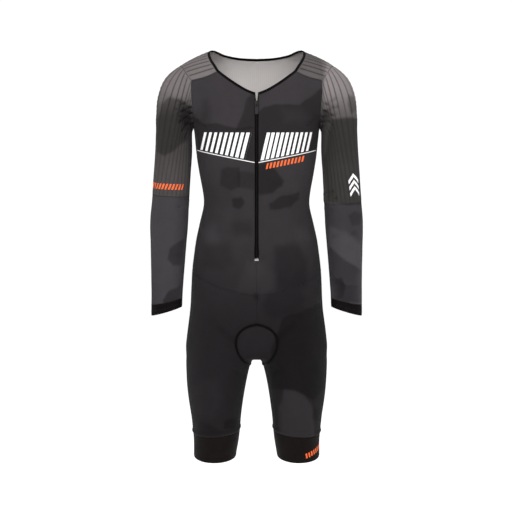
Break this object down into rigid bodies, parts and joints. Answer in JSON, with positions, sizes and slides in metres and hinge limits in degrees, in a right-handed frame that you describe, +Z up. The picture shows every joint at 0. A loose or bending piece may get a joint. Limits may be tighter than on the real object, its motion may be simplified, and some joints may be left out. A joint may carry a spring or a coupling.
{
  "type": "time trial suit",
  "caption": "Long-sleeved cycling time trial suit with short legs, filled out as worn: ribbed shoulders and sleeves, front zip, leg bands and seat insert.",
  "frame": {"origin": "midway between the two neck points, at the height of the shoulders, where a wearer holds the suit up", "axes": "+Z up along the body, the front faces -Y, the wearer's left side is at +X"},
  "size_m": [0.5215, 0.2288, 1.0089],
  "materials": {
    "printed_cloth": "smooth stretch knit",
    "ribbed_cloth": "ribbed stretch knit",
    "sleeve_cloth": "smooth stretch knit",
    "band_cloth": "firm elastic knit",
    "zip_plastic": "matt",
    "dark_metal": "satin black",
    "bright_metal": "satin"
  },
  "bodies": {
    "suit": {"front_left": "printed_cloth", "front_right": "printed_cloth", "back": "printed_cloth", "yoke_left": "ribbed_cloth", "yoke_right": "ribbed_cloth", "sleeve_upper_left": "ribbed_cloth", "sleeve_upper_right": "ribbed_cloth", "sleeve_lower_left": "sleeve_cloth", "sleeve_lower_right": "sleeve_cloth", "cuff_left": "band_cloth", "cuff_right": "band_cloth", "leg_left": "printed_cloth", "leg_right": "printed_cloth", "leg_band_left": "band_cloth", "leg_band_right": "band_cloth", "crotch_insert": "printed_cloth", "insert_seam": "band_cloth", "neck_binding": "band_cloth", "zip_tape_left": "zip_plastic", "zip_tape_right": "zip_plastic", "zip_chain": "zip_plastic", "zip_slider": "dark_metal", "zip_stop": "bright_metal"},
    "zip_pull": {"zip_pull": "dark_metal"}
  },
  "joints": [
    {"name": "zip_pull_flip", "type": "hinge", "parent": "suit", "child": "zip_pull", "pos_m": [0, -0.09523, -0.13307], "axis": [-1, 0, 0], "range_deg": [0, 170]}
  ]
}
